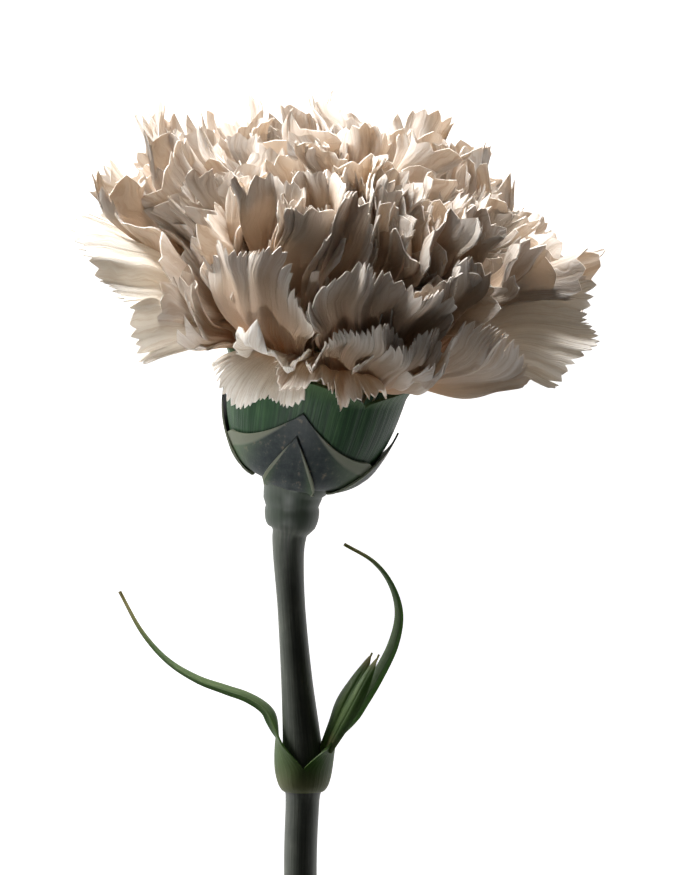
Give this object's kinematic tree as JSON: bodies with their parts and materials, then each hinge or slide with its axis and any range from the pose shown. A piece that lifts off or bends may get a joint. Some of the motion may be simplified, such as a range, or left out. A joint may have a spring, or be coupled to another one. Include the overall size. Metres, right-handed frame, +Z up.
{
  "type": "cut carnation",
  "caption": "Cut double carnation lying on its side: ruffled dome of toothed petals on a green calyx with bracts, short jointed stem with a pair of narrow leaves and a young shoot.",
  "frame": {"origin": "on the surface that the flower lies on, under the middle of its plan", "axes": "+Y along the stem towards the bloom, +X to the right seen from above, +Z up"},
  "size_m": [0.0738, 0.1702, 0.0678],
  "materials": {
    "petal": "soft matt, thin enough to glow when light is behind it",
    "calyx": "waxy satin with fine lengthwise ribs",
    "bract": "matt, speckled, with a pale papery edge",
    "stem": "waxy satin with a grey bloom",
    "leaf": "waxy matt, grooved lengthwise",
    "pistil": "smooth matt"
  },
  "bodies": {
    "root": {"calyx": "calyx", "inner_bract_lower": "bract", "inner_bract_upper": "bract", "leaf_left": "leaf", "leaf_right": "leaf", "outer_bract_lower": "bract", "outer_bract_upper": "bract", "petal_01": "petal", "petal_02": "petal", "petal_03": "petal", "petal_04": "petal", "petal_05": "petal", "petal_06": "petal", "petal_07": "petal", "petal_08": "petal", "petal_09": "petal", "petal_10": "petal", "petal_11": "petal", "petal_12": "petal", "petal_13": "petal", "petal_14": "petal", "petal_15": "petal", "petal_16": "petal", "petal_17": "petal", "petal_18": "petal", "petal_19": "petal", "petal_20": "petal", "petal_21": "petal", "petal_22": "petal", "petal_23": "petal", "petal_24": "petal", "petal_25": "petal", "petal_26": "petal", "petal_27": "petal", "petal_28": "petal", "petal_29": "petal", "petal_30": "petal", "petal_31": "petal", "petal_32": "petal", "petal_33": "petal", "petal_34": "petal", "petal_35": "petal", "petal_36": "petal", "petal_37": "petal", "petal_38": "petal", "petal_39": "petal", "petal_40": "petal", "petal_41": "petal", "petal_42": "petal", "petal_43": "petal", "petal_44": "petal", "petal_45": "petal", "petal_46": "petal", "pistil": "pistil", "shoot_leaf_back": "leaf", "shoot_leaf_front": "leaf", "side_bract_left": "bract", "side_bract_right": "bract", "stem": "stem"}
  },
  "joints": []
}
